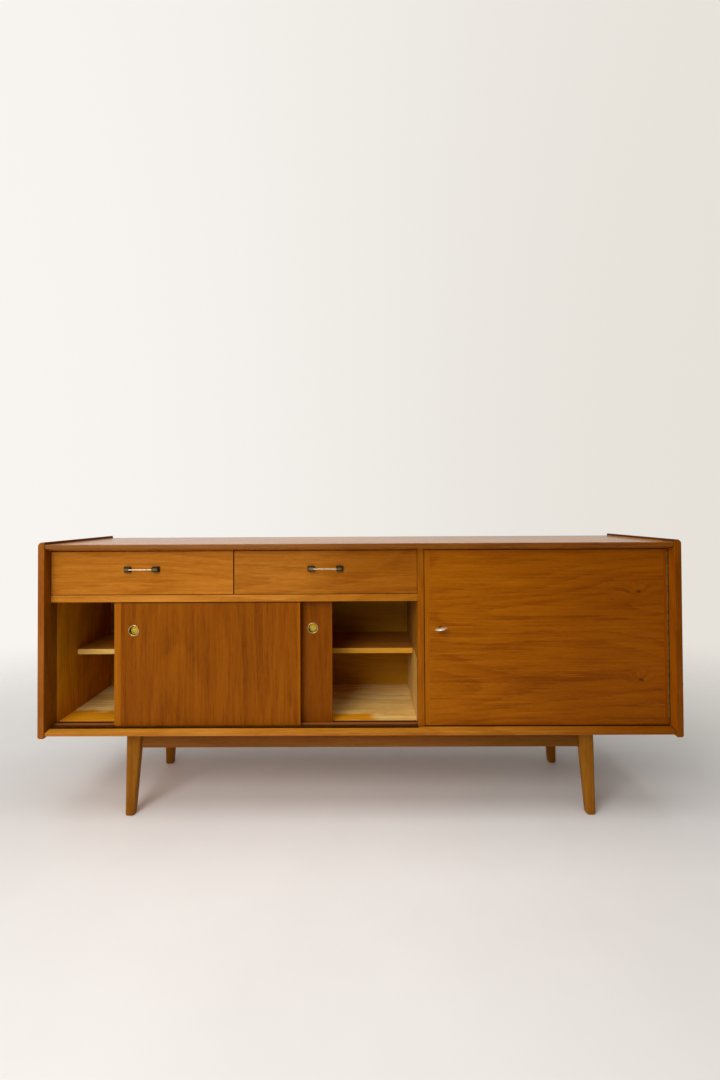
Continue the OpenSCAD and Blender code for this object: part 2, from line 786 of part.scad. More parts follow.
module front_apron() color("saddlebrown") front_apron_shape();
module rear_apron() color("saddlebrown") mirror([0, 1, 0]) front_apron_shape();
module left_side_apron() color("saddlebrown") side_apron_shape();
module right_side_apron() color("saddlebrown") mirror([1, 0, 0]) side_apron_shape();

left_side_panel();
right_side_panel();
top_panel();
bottom_panel();
centre_divider();
drawer_deck();
bay_partition();
drawer_partition();
left_back_panel();
right_back_panel();
bottom_track();
top_track();
left_bay_shelf();
right_bay_shelf();
cupboard_shelf();
shelf_pins();
drawer_runners();
strike_plate();
door_stop();
front_left_leg();
front_right_leg();
rear_left_leg();
rear_right_leg();
front_apron();
rear_apron();
left_side_apron();
right_side_apron();
hinge_case_leaf();
hinge_pin();
hinge_case_screws();
left_drawer_front();
left_drawer_outer_side();
left_drawer_inner_side();
left_drawer_back();
left_drawer_bottom();
left_drawer_pull_blocks();
left_drawer_pull_bar();
left_drawer_pull_screws();
right_drawer_front();
right_drawer_outer_side();
right_drawer_inner_side();
right_drawer_back();
right_drawer_bottom();
right_drawer_pull_blocks();
right_drawer_pull_bar();
right_drawer_pull_screws();
left_sliding_door();
left_sliding_door_edges();
left_finger_pull();
right_sliding_door();
right_sliding_door_edges();
right_finger_pull();
cupboard_door();
cupboard_door_edges();
hinge_door_leaf();
hinge_door_screws();
lock_case();
lock_bolt();
key();
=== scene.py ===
import math

import bpy
from mathutils import Matrix, Vector


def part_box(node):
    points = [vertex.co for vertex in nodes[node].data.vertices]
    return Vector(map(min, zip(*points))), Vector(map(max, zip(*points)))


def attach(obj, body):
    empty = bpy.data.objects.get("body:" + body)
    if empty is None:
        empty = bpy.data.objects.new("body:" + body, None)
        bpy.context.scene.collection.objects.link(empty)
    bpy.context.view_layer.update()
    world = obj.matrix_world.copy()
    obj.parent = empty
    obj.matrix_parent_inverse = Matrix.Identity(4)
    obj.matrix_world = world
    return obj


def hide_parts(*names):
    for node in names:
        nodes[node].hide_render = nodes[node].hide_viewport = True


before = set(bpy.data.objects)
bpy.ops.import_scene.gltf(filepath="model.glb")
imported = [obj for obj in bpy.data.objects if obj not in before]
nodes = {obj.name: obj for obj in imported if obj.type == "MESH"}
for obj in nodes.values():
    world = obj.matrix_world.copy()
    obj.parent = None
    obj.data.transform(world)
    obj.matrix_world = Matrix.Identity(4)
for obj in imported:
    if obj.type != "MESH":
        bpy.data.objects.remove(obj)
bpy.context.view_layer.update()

MM = 0.001


def linear(r, g, b):
    """A colour given as screen values from 0 to 255, as the linear colour that shaders take."""
    part = [min(c, 255) / 255 for c in (r, g, b)]
    return tuple(c / 12.92 if c <= 0.04045 else ((c + 0.055) / 1.055) ** 2.4 for c in part) + (1.0,)


class Graph:
    """Builds the node tree of one material or of the world with short calls."""

    def __init__(self, owner):
        owner.use_nodes = True
        self.owner = owner
        self.nodes = owner.node_tree.nodes
        self.links = owner.node_tree.links

    def put(self, socket, value):
        if isinstance(value, bpy.types.NodeSocket):
            self.links.new(value, socket)
        else:
            socket.default_value = value

    def make(self, kind, inputs=(), **settings):
        made = self.nodes.new(kind)
        for key, value in settings.items():
            setattr(made, key, value)
        for key, value in dict(inputs).items():
            self.put(made.inputs[key], value)
        return made

    def set(self, **values):
        """Sets the shader's own sockets; an underscore in a name stands for a space."""
        for key, value in values.items():
            self.put(self.nodes["Principled BSDF"].inputs[key.replace("_", " ")], value)

    def math(self, operation, *values):
        return self.make("ShaderNodeMath", enumerate(values), operation=operation).outputs[0]

    def vector(self, operation, *values):
        return self.make("ShaderNodeVectorMath", enumerate(values), operation=operation).outputs[0]

    def length(self, vector):
        return self.make("ShaderNodeVectorMath", {0: vector}, operation="LENGTH").outputs["Value"]

    def place(self, kind="Object"):
        return self.make("ShaderNodeTexCoord").outputs[kind]

    def parts(self, vector):
        return self.make("ShaderNodeSeparateXYZ", {0: vector}).outputs

    def noise(self, where, scale=1.0, detail=2.0, roughness=0.5, distortion=0.0):
        inputs = {"Vector": where, "Scale": scale, "Detail": detail, "Roughness": roughness,
                  "Distortion": distortion}
        return self.make("ShaderNodeTexNoise", inputs).outputs["Fac"]

    def span(self, value, low, high, to_low=0.0, to_high=1.0):
        """Takes low..high to to_low..to_high with a soft start and end."""
        inputs = {"Value": value, "From Min": low, "From Max": high, "To Min": to_low,
                  "To Max": to_high}
        return self.make("ShaderNodeMapRange", inputs, interpolation_type="SMOOTHSTEP").outputs[0]

    def ramp(self, factor, stops):
        made = self.make("ShaderNodeValToRGB", {0: factor})
        elements = made.color_ramp.elements
        while len(elements) < len(stops):
            elements.new(0.5)
        for element, (position, colour) in zip(elements, stops):
            element.position = position
            element.color = colour
        return made.outputs[0]

    def blend(self, factor, a, b, mode="MIX"):
        made = self.make("ShaderNodeMix", data_type="RGBA", blend_type=mode)
        self.put(made.inputs[0], factor)
        self.put(made.inputs[6], a)
        self.put(made.inputs[7], b)
        return made.outputs[2]

    def bump(self, height, distance, strength):
        inputs = {"Height": height, "Distance": distance, "Strength": strength}
        return self.make("ShaderNodeBump", inputs).outputs[0]

    def depth_in(self, where, low, high):
        """How deep a point is below the faces of a box, along X, Y and Z."""
        low, high = Vector(low), Vector(high)
        off = self.vector("ABSOLUTE", self.vector("SUBTRACT", where, (low + high) / 2))
        return self.parts(self.vector("SUBTRACT", (high - low) / 2, off))

    def inside(self, where, low, high, soft=0.0):
        """1 inside a box and 0 outside it, rising over the distance soft from its faces."""
        x, y, z = self.depth_in(where, low, high)
        nearest = self.math("MINIMUM", x, self.math("MINIMUM", y, z))
        return self.span(nearest, 0.0, soft) if soft else self.math("GREATER_THAN", nearest, 0.0)

    def edge(self, where, low, high, width):
        """1 on the edges of a box-shaped board, falling to 0 at width from them."""
        x, y, z = self.depth_in(where, low, high)
        least = self.math("MINIMUM", x, self.math("MINIMUM", y, z))
        most = self.math("MAXIMUM", x, self.math("MAXIMUM", y, z))
        total = self.math("ADD", x, self.math("ADD", y, z))
        second = self.math("SUBTRACT", self.math("SUBTRACT", total, least), most)
        return self.span(second, 0.0, width, 1.0, 0.0)


# ---- Camera, stage and light ----

CAMERA_AT = Vector((0.014, -1.849, 0.960))
CAMERA_PITCH = math.radians(0.81)
CAMERA_TURN = math.radians(0.30)
CAMERA_ROLL = math.radians(-0.30)
LENS = 17.4
SENSOR = 36.0
SHIFT_Y = -0.0328

WALL_LEFT = linear(248, 245, 241)
WALL_RIGHT = linear(230, 226, 218)
LIGHT_FROM_LEFT = 0.62
LIGHT_FROM_RIGHT = 0.10
LIGHT_FROM_BACK = 0.95
LIGHT_ABOVE_BACK = 0.22
LIGHT_FROM_ABOVE = 0.60
ABOVE_AT_BACK = 0.35

# Where one of these gives way to the next, along an axis of the direction looked in (-1 to 1)
WALL_BLEND = (-0.6, 0.6)
LEFT_TO_RIGHT = (-0.30, 0.12)
FRONT_TO_BACK = (-0.2, 0.5)
BACK_TO_ABOVE_BACK = (0.08, 0.30)
SIDES_TO_ABOVE = (0.40, 0.95)
ABOVE_FRONT_TO_BACK = (-0.1, 0.4)

# Each lamp: its place, what it points at, its sides, its watts and its colour
WINDOW = ((-1.3, -2.6, 2.2), (-0.1, 0.0, 0.5), (1.6, 1.6), 50.0, (1.0, 0.98, 0.95))
CEILING = ((-0.2, -0.6, 2.7), (-0.2, -0.6, 0.0), (3.2, 1.8), 30.0, (1.0, 0.985, 0.965))

FLOOR_SIZE = 14.0
FLOOR_CENTRE = (0.0, -1.2, 0.0)
FLOOR_SOLID = 1.3
FLOOR_GONE = 4.2
FLOOR_TONES = [(0.3, linear(241, 240, 239)), (0.7, linear(248, 247, 246))]


def make_camera():
    data = bpy.data.cameras.new("camera")
    data.lens = LENS
    data.sensor_width = SENSOR
    data.shift_y = SHIFT_Y
    camera = bpy.data.objects.new("camera", data)
    turn = Matrix.Rotation(CAMERA_TURN, 4, "Z") @ Matrix.Rotation(math.pi / 2 + CAMERA_PITCH, 4, "X")
    camera.matrix_world = Matrix.Translation(CAMERA_AT) @ turn @ Matrix.Rotation(CAMERA_ROLL, 4, "Z")
    bpy.context.scene.collection.objects.link(camera)
    bpy.context.scene.camera = camera


def make_world():
    """A pale plain room whose light is stronger from behind the sideboard, as a white wall gives."""
    graph = Graph(bpy.data.worlds.new("studio"))
    x, y, z = graph.parts(graph.place("Generated"))
    background = graph.nodes["Background"]
    wall = graph.blend(graph.span(x, *WALL_BLEND), WALL_LEFT, WALL_RIGHT)
    graph.put(background.inputs["Color"], wall)
    back = graph.span(z, *BACK_TO_ABOVE_BACK, LIGHT_FROM_BACK, LIGHT_ABOVE_BACK)
    front = graph.span(x, *LEFT_TO_RIGHT, LIGHT_FROM_LEFT, LIGHT_FROM_RIGHT)
    light = graph.span(y, *FRONT_TO_BACK, front, back)
    above = graph.span(z, *SIDES_TO_ABOVE, 0.0, LIGHT_FROM_ABOVE)
    above = graph.math("MULTIPLY", above, graph.span(y, *ABOVE_FRONT_TO_BACK, 1.0, ABOVE_AT_BACK))
    light = graph.math("MAXIMUM", light, above)
    seen = graph.make("ShaderNodeLightPath").outputs["Is Camera Ray"]
    graph.put(background.inputs["Strength"], graph.math("MAXIMUM", light, seen))
    bpy.context.scene.world = graph.owner
    bpy.context.scene.view_settings.view_transform = "Standard"


def make_light(name, at, aim, size, power, colour):
    data = bpy.data.lights.new(name, "AREA")
    data.shape = "RECTANGLE"
    data.size, data.size_y = size
    data.energy = power
    data.color = colour
    light = bpy.data.objects.new(name, data)
    light.location = at
    light.rotation_euler = (Vector(aim) - Vector(at)).to_track_quat("-Z", "Y").to_euler()
    bpy.context.scene.collection.objects.link(light)


def make_floor():
    """A pale floor that fades into the background far from the object."""
    graph = Graph(bpy.data.materials.new("floor_paint"))
    where = graph.place()
    graph.set(Base_Color=graph.ramp(graph.noise(where, 1.3, 4.0, 0.6), FLOOR_TONES))
    graph.set(Roughness=0.55, Normal=graph.bump(graph.noise(where, 90.0, 3.0), 0.0004, 0.3))
    clear = graph.make("ShaderNodeBsdfTransparent").outputs[0]
    far = graph.length(graph.vector("SUBTRACT", where, FLOOR_CENTRE))
    far = graph.span(far, FLOOR_SOLID, FLOOR_GONE)
    mixed = graph.make("ShaderNodeMixShader", {0: far})
    graph.put(mixed.inputs[1], graph.nodes["Principled BSDF"].outputs[0])
    graph.put(mixed.inputs[2], clear)
    graph.put(graph.nodes["Material Output"].inputs[0], mixed.outputs[0])
    half = FLOOR_SIZE / 2
    corners = [(-half, -half, 0), (half, -half, 0), (half, half, 0), (-half, half, 0)]
    floor = add_mesh("floor", corners, [(0, 1, 2, 3)])
    floor.data.materials.append(graph.owner)


# ---- Materials ----

ALONG = {"x": (1, 0, 0), "y": (0, 1, 0), "z": (0, 0, 1)}
TONE_STOPS = (0.20, 0.50, 0.80)
# The noises of the figure, coarse to fine: scale along the grain, scale across it and amount
LAYERS = ((1.7, 5.5, 0.50), (1.1, 34.0, 0.38), (5.0, 100.0, 0.42), (9.0, 250.0, 0.58), (42.0, 430.0, 0.45))
FINE_LINES = 3
# The scales along and across the grain of the open pores and of the growth rings
PORES = (55.0, 1500.0)
RINGS = (0.7, 4.2)
RING_COUNT = 15.0
PORE_TINT = (0.36, 0.26, 0.15, 1)
PATINA_TINT = (0.66, 0.56, 0.42, 1)
RELIEF = 0.12 * MM
EDGE_WEAR = 2.5 * MM

KNOT_STRAY = 16 * MM
KNOT_BEND = 60 * MM
KNOT_LIFT = 24 * MM
KNOT_CORE = 2 * MM
KNOT_RIM = 12 * MM
KNOT_COLOUR = linear(58, 24, 4)

WORN_SOFT = 30 * MM
FAR = 2.0


def tones(r, g, b):
    """The dark, middle and light tones of a wood, from the screen values of its middle tone."""
    return (linear(r * 0.84, g * 0.78, b * 0.60), linear(r, g, b), linear(r * 1.10, g * 1.16, b * 1.5 + 3))


def zone(colours, x=(-FAR, FAR), y=(-FAR, FAR), z=(-FAR, FAR), stray=0.0):
    """A box inside which a board shows other tones: another wood in some, painted light and shade in others.
    It has no end along an axis that isn't given.

    With stray, its outline wanders by about half of that in x and y, and it is soft, as a worn patch is.
    """
    low, high = zip(x, y, z)
    return low, high, tones(*colours), stray


class Wood:
    """How one board looks.

    grain is the axis that the grain runs along, and colours are the screen values of the middle tone.
    zones are painted in their order. fade is the x where a tint starts, the x where it is full, and the
    tint, which is multiplied into the colour.
    """

    def __init__(self, grain, colours, contrast=1.0, figure=1.0, rough=0.42, shine=0.05, coat=0.0, zones=(),
                 fade=None):
        self.grain = grain
        self.tones = tones(*colours)
        self.contrast = contrast
        self.figure = figure
        self.rough = rough
        self.shine = shine
        self.coat = coat
        self.zones = zones
        self.fade = fade


def stretched(graph, where, grain, scales, seed):
    """Coordinates for a noise whose spots are drawn out along the grain."""
    along, across = scales
    scale = [along if flag else across for flag in ALONG[grain]]
    moved = graph.vector("ADD", where, (seed * 1.37, seed * 0.71, seed * 2.13))
    return graph.vector("MULTIPLY", moved, scale)


def strayed(graph, place, scale, detail, reach):
    """Coordinates that wander by up to half of reach along each axis."""
    inputs = {"Vector": place, "Scale": scale, "Detail": detail}
    noise = graph.make("ShaderNodeTexNoise", inputs).outputs["Color"]
    off = graph.vector("SUBTRACT", noise, (0.5, 0.5, 0.5))
    return graph.vector("ADD", place, graph.vector("MULTIPLY", off, reach))


def bend_round_knots(graph, place, knots):
    """Coordinates whose grain lifts over each knot, and how dark each point is from the knots."""
    where = place
    dark = 0.0
    for x, z in knots:
        ragged = strayed(graph, place, 60.0, 2.0, (KNOT_STRAY, 0, KNOT_STRAY))
        off = graph.vector("SUBTRACT", ragged, (x, 0, z))
        away = graph.length(graph.vector("MULTIPLY", off, (1, 0, 1.5)))
        lift = graph.math("MULTIPLY", graph.span(away, 0.0, KNOT_BEND, 1.0, 0.0), KNOT_LIFT)
        where = graph.vector("ADD", where, graph.make("ShaderNodeCombineXYZ", {2: lift}).outputs[0])
        dark = graph.math("MAXIMUM", dark, graph.span(away, KNOT_CORE, KNOT_RIM, 0.80, 0.0))
    return where, dark


def wood_figure(graph, where, look, seed):
    """How light the figure is at each point, from 0 to 1, and the fine lines in it."""
    layers = []
    for number, (along, across, amount) in enumerate(LAYERS):
        coordinates = stretched(graph, where, look.grain, (along, across), seed + 3 * number)
        layers.append((graph.noise(coordinates, 1.0, 3.0, 0.55, 0.2), amount))
    lines = layers[FINE_LINES][0]
    field = graph.noise(stretched(graph, where, look.grain, RINGS, seed + 11), 1.0, 1.0, 0.35, 0.25)
    ring = graph.math("MULTIPLY_ADD", lines, 0.35, graph.math("MULTIPLY", field, RING_COUNT))
    ring = graph.math("FRACT", ring)
    late = graph.math("MULTIPLY", graph.span(ring, 0.25, 0.95), graph.span(ring, 0.96, 1.0, 1.0, 0.0))
    light = 0.5 + 0.05 * look.figure
    for value, amount in layers:
        light = graph.math("MULTIPLY_ADD", graph.math("SUBTRACT", value, 0.5), amount * look.contrast, light)
    return graph.math("MULTIPLY_ADD", late, -0.13 * look.figure, light), lines


def paint_zones(graph, place, light, colour, zones):
    """The colour with each zone's own tones inside it."""
    for low, high, other, stray in zones:
        there = graph.ramp(light, list(zip(TONE_STOPS, other)))
        if stray:
            ragged = strayed(graph, place, 11.0, 4.0, (stray, stray, 0))
            within = graph.inside(ragged, low, high, WORN_SOFT)
        else:
            within = graph.inside(place, low, high)
        colour = graph.blend(within, colour, there)
    return colour


def wood(name, look, seed, box, knots=()):
    """Varnished wood. look is a Wood, and box is the board's own box, whose edges get worn."""
    graph = Graph(bpy.data.materials.new(name))
    place = graph.place()
    where, dark_knots = bend_round_knots(graph, place, knots)
    light, lines = wood_figure(graph, where, look, seed)
    colour = graph.ramp(light, list(zip(TONE_STOPS, look.tones)))
    colour = paint_zones(graph, place, light, colour, look.zones)
    pores = graph.noise(stretched(graph, where, look.grain, PORES, seed + 8), 1.0, 2.0, 0.5)
    open_pores = graph.span(pores, 0.60, 0.72)
    colour = graph.blend(graph.math("MULTIPLY", open_pores, 0.30), colour, PORE_TINT, "MULTIPLY")
    patina = graph.span(graph.noise(place, 5.0, 3.0), 0.35, 0.70)
    colour = graph.blend(graph.math("MULTIPLY", patina, 0.10), colour, PATINA_TINT, "MULTIPLY")
    if look.fade:
        start, end, tint = look.fade
        faded = graph.span(graph.parts(place)[0], start, end)
        colour = graph.blend(faded, colour, tint + (1,), "MULTIPLY")
    if knots:
        colour = graph.blend(dark_knots, colour, KNOT_COLOUR)
    patches = graph.span(graph.noise(place, 38.0, 3.0), 0.35, 0.65, 0.10, 0.45)
    rubbed = graph.math("MULTIPLY", graph.edge(place, *box, EDGE_WEAR), patches)
    colour = graph.blend(rubbed, colour, look.tones[2])
    rough = graph.math("MULTIPLY_ADD", lines, 0.16, look.rough - 0.08)
    rough = graph.math("MULTIPLY_ADD", rubbed, 0.10, rough)
    height = graph.math("MULTIPLY_ADD", open_pores, -0.8, graph.math("MULTIPLY", lines, 0.5))
    graph.set(Base_Color=colour, Roughness=rough, Specular_IOR_Level=look.shine)
    graph.set(Coat_Weight=look.coat, Coat_Roughness=0.12)
    graph.set(Normal=graph.bump(height, RELIEF, 0.55))
    return graph.owner


def metal(name, base, tarnish_and_shade, roughness, patches, stretch=(1, 1, 1), scale=900.0, bright=None):
    """Plated or bare metal with fine lines, fingermarks and tarnish in patches.

    bright is the middle and half-length along x of the stretch kept bright; past it the colour is dull and
    dark, partly tarnish and partly painted shade.
    """
    graph = Graph(bpy.data.materials.new(name))
    place = graph.place()
    marks = graph.noise(place, 160.0, 4.0, 0.6)
    scratches = graph.noise(graph.vector("MULTIPLY", place, stretch), scale, 3.0, 0.6)
    dull = graph.span(marks, 0.42, 0.70, 0.0, patches)
    if bright:
        middle, half = bright
        away = graph.math("ABSOLUTE", graph.math("SUBTRACT", graph.parts(place)[0], middle))
        dull = graph.math("MAXIMUM", dull, graph.span(away, half, half + 2 * MM))
    graph.set(Base_Color=graph.blend(dull, base, tarnish_and_shade), Metallic=1.0)
    rough = graph.math("MULTIPLY_ADD", dull, 0.35, roughness)
    graph.set(Roughness=graph.math("MULTIPLY_ADD", scratches, 0.12, rough))
    graph.set(Normal=graph.bump(scratches, 0.00004, 0.4))
    return graph.owner


def black_lacquer():
    graph = Graph(bpy.data.materials.new("black_lacquer"))
    place = graph.place()
    dust = graph.span(graph.noise(place, 700.0, 3.0, 0.6), 0.58, 0.75)
    rub = graph.span(graph.noise(place, 120.0, 3.0), 0.45, 0.75)
    graph.set(Base_Color=graph.ramp(dust, [(0.0, (0.010, 0.009, 0.008, 1)), (1.0, (0.040, 0.036, 0.030, 1))]))
    graph.set(Roughness=graph.math("MULTIPLY_ADD", rub, 0.22, 0.26), Specular_IOR_Level=0.35)
    graph.set(Normal=graph.bump(graph.noise(place, 240.0, 2.0), 0.0001, 0.3))
    return graph.owner


# ---- Meshes ----


def add_mesh(name, points, faces):
    data = bpy.data.meshes.new(name)
    data.from_pydata([tuple(p) for p in points], [], faces)
    data.validate()
    made = bpy.data.objects.new(name, data)
    bpy.context.scene.collection.objects.link(made)
    return made


CREASE = math.radians(35)


def smooth(piece):
    """Smooth shading with creases kept where faces meet at more than CREASE."""
    piece.data.polygons.foreach_set("use_smooth", [True] * len(piece.data.polygons))
    piece.data.set_sharp_from_angle(angle=CREASE)


def loft(rings):
    """Points and faces of a closed skin through rings that all have the same number of points."""
    count = len(rings[0])
    points = [p for ring in rings for p in ring]
    faces = []
    for start in range(0, (len(rings) - 1) * count, count):
        for i in range(count):
            j = (i + 1) % count
            faces.append((start + i, start + j, start + count + j, start + count + i))
    faces.append(tuple(reversed(range(count))))
    faces.append(tuple(range((len(rings) - 1) * count, len(rings) * count)))
    return points, faces


def join_shapes(shapes):
    """One list of points and one of faces from several closed shapes."""
    points, faces = [], []
    for more_points, more_faces in shapes:
        start = len(points)
        points += list(more_points)
        faces += [tuple(start + i for i in face) for face in more_faces]
    return points, faces


def rounded_ring(low, high, radius, steps=6):
    """A rectangle with round corners, as (u, v) points."""
    ring = []
    centres = [(high[0] - radius, high[1] - radius), (low[0] + radius, high[1] - radius),
               (low[0] + radius, low[1] + radius), (high[0] - radius, low[1] + radius)]
    for corner, (u, v) in enumerate(centres):
        for step in range(steps + 1):
            angle = math.pi / 2 * (corner + step / steps)
            ring.append((u + radius * math.cos(angle), v + radius * math.sin(angle)))
    return ring


def turned(profile, centre, segments=72):
    """A closed shape turned about the line along Y through centre; profile is (radius, y) points
    that start and end on the axis."""
    points = [Vector((centre[0], centre[1] + profile[0][1], centre[2]))]
    body = profile[1:-1]
    for radius, y in body:
        for i in range(segments):
            angle = 2 * math.pi * i / segments
            points.append(Vector((centre[0] + radius * math.cos(angle), centre[1] + y,
                                  centre[2] + radius * math.sin(angle))))
    points.append(Vector((centre[0], centre[1] + profile[-1][1], centre[2])))
    last = len(points) - 1
    faces = []
    for i in range(segments):
        j = (i + 1) % segments
        faces.append((0, 1 + i, 1 + j))
        faces.append((last, last - segments + j, last - segments + i))
        for r in range(len(body) - 1):
            a = 1 + r * segments
            faces.append((a + i, a + segments + i, a + segments + j, a + j))
    return points, faces


def arc(centre, radius, start, end, steps):
    """(radius, y) points along an arc, with angles in degrees."""
    angles = [math.radians(start + (end - start) * i / steps) for i in range(steps + 1)]
    return [(centre[0] + radius * math.cos(a), centre[1] + radius * math.sin(a)) for a in angles]


def ease(value, low, high):
    """0 below low and 1 above high, with a soft start and end."""
    share = min(max((value - low) / (high - low), 0.0), 1.0)
    return share * share * (3 - 2 * share)


def add_piece(name, shape, body, material, replaced):
    """Makes a finer piece that rides on a body and takes the place of the CAD node replaced."""
    piece = add_mesh(name, *shape)
    smooth(piece)
    piece.data.materials.append(material)
    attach(piece, body)
    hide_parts(replaced)


def round_edges(node, width, segments=3):
    """Rounds a CAD node's edges with modifiers only: its own mesh isn't touched."""
    piece = nodes[node]
    weld = piece.modifiers.new("weld", "WELD")
    weld.merge_threshold = 0.00001
    flat = piece.modifiers.new("flat_faces", "DECIMATE")
    flat.decimate_type = "DISSOLVE"
    flat.angle_limit = math.radians(0.5)
    bevel = piece.modifiers.new("round_edges", "BEVEL")
    bevel.width = width
    bevel.segments = segments
    bevel.limit_method = "ANGLE"
    bevel.angle_limit = math.radians(38)
    bevel.miter_outer = "MITER_ARC"
    normals = piece.modifiers.new("normals", "WEIGHTED_NORMAL")
    normals.keep_sharp = False


# ---- Legs ----

# A leg's width and depth
LEG_TOP = (49 * MM, 30 * MM)
LEG_FOOT = (28 * MM, 30 * MM)
LEG_ROUND = 7.5 * MM
FOOT_ROUND = 6 * MM


def leg_shape(node):
    """A leg that tapers to its foot and splays towards the nearer long side, with round arrises."""
    low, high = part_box(node)
    side_x = -1 if low.x < 0 else 1
    side_y = -1 if low.y < 0 else 1
    outer = low.x if side_x < 0 else high.x
    foot_y = low.y if side_y < 0 else high.y
    top_y = high.y - LEG_TOP[1] if side_y < 0 else low.y + LEG_TOP[1]
    heights = [(FOOT_ROUND * (1 - math.cos(math.radians(a))), FOOT_ROUND * (1 - math.sin(math.radians(a))))
               for a in range(0, 91, 15)]
    heights += [(high.z * t, 0.0) for t in (0.1, 0.3, 0.5, 0.7, 0.85, 1.0)]
    rings = []
    for z, inset in heights:
        t = z / high.z
        width = LEG_FOOT[0] + (LEG_TOP[0] - LEG_FOOT[0]) * t
        depth = LEG_FOOT[1] + (LEG_TOP[1] - LEG_FOOT[1]) * t
        face_y = foot_y + (top_y - foot_y) * t
        x0, x1 = sorted((outer, outer - side_x * width))
        y0, y1 = sorted((face_y, face_y - side_y * depth))
        ring = rounded_ring((x0 + inset, y0 + inset), (x1 - inset, y1 - inset),
                            max(LEG_ROUND - inset, 1.5 * MM))
        rings.append([Vector((x, y, z)) for x, y in ring])
    return loft(rings)


# ---- Pulls ----

PLATE_LENGTH = 17 * MM
PLATE_FLARE = 4 * MM
BAR_SLIM = 1.9 * MM
BAR_WIDE = 4.2 * MM
BAR_THICK = 2.4 * MM


def pull_bar_shape(node):
    """A slim strip that bends back at each end into a wider plate on the block's sloping face."""
    low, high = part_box(node)
    centre = (low + high) / 2
    half = (high.x - low.x) / 2
    bend = half - PLATE_LENGTH
    flare = bend + 1 * MM
    fall = high.y - low.y - BAR_THICK
    stations = [half, half - 0.4 * MM, half - 1.2 * MM, half - 3 * MM]
    stations += [flare + PLATE_FLARE - (PLATE_FLARE + 2 * MM) * i / 8 for i in range(9)]
    stations += [0.5 * bend, 0.0]
    stations = [-x for x in stations] + stations[-2::-1]
    rings = []
    for x in stations:
        back = low.y + BAR_THICK / 2 + fall * max((abs(x) - bend) / PLATE_LENGTH, 0.0)
        wide = BAR_SLIM + (BAR_WIDE - BAR_SLIM) * ease(abs(x), flare, flare + PLATE_FLARE)
        shrink = 1 - 0.25 * ease(abs(x), half - 1.2 * MM, half)
        thick = BAR_THICK / 2 * shrink
        ring = rounded_ring((-thick, -wide * shrink), (thick, wide * shrink), 0.8 * MM * shrink, 4)
        rings.append([Vector((centre.x + x, back + u, centre.z + v)) for u, v in reversed(ring)])
    return loft(rings)


CUP_RIM = 17.5 * MM
CUP_WALL = 14.3 * MM
CUP_DEEP = 7.6 * MM
RIM_OUT = 1.6 * MM


def finger_pull_shape(node):
    """A flush cup: a rolled rim on the door's face and a shallow bowl."""
    low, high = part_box(node)
    face = low.y + RIM_OUT
    centre = Vector(((low.x + high.x) / 2, face, (low.z + high.z) / 2))
    profile = [(0.0, high.y - face)]
    profile += [(CUP_WALL + 0.7 * MM, high.y - face), (CUP_WALL + 0.7 * MM, 0.0), (CUP_RIM, 0.0)]
    profile += arc((CUP_RIM - 1.3 * MM, -0.1 * MM), 1.3 * MM, -20, -90, 5)
    profile += arc((CUP_WALL + 1.1 * MM, -0.1 * MM), 1.3 * MM, -90, -165, 5)
    profile += [(CUP_WALL - 0.2 * MM, 1.2 * MM), (CUP_WALL - 0.4 * MM, CUP_DEEP - 2.2 * MM)]
    profile += arc((CUP_WALL - 2.4 * MM, CUP_DEEP - 2.0 * MM), 2.0 * MM, 0, 90, 7)
    profile += [(7 * MM, CUP_DEEP - 0.15 * MM), (3 * MM, CUP_DEEP - 0.35 * MM), (0.0, CUP_DEEP - 0.4 * MM)]
    return turned(profile, centre)


def finger_pull_brass(name, node):
    """Brass that is pale and polished on the rim and darker and duller in the bowl."""
    graph = Graph(bpy.data.materials.new(name))
    low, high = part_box(node)
    place = graph.place()
    off = graph.vector("MULTIPLY", graph.vector("SUBTRACT", place, (low + high) / 2), (1, 0, 1))
    radius = graph.length(off)
    bowl = graph.span(radius, CUP_WALL, CUP_WALL + 0.8 * MM, 1.0, 0.0)
    corner = graph.span(radius, 9 * MM, 13 * MM, 0.0, 0.75)
    grime = graph.span(graph.noise(place, 210.0, 4.0, 0.6), 0.40, 0.70, 0.0, 0.55)
    inner = graph.blend(graph.math("MAXIMUM", corner, grime), linear(226, 188, 66), linear(70, 58, 18))
    outer = graph.blend(grime, linear(214, 192, 132), linear(140, 120, 74))
    graph.set(Base_Color=graph.blend(bowl, outer, inner), Metallic=1.0)
    graph.set(Roughness=graph.math("MULTIPLY_ADD", bowl, 0.22, graph.math("MULTIPLY_ADD", grime, 0.15, 0.22)))
    graph.set(Normal=graph.bump(graph.noise(place, 900.0, 3.0, 0.6), 0.00004, 0.4))
    return graph.owner


# ---- Key ----

KEY_TILT = math.radians(9)
BOW_HALF = 19.5 * MM
BOW_DEEP = 14 * MM
BOW_THICK = 3.6 * MM
BOW_STEPS = 28
SHANK = 3 * MM


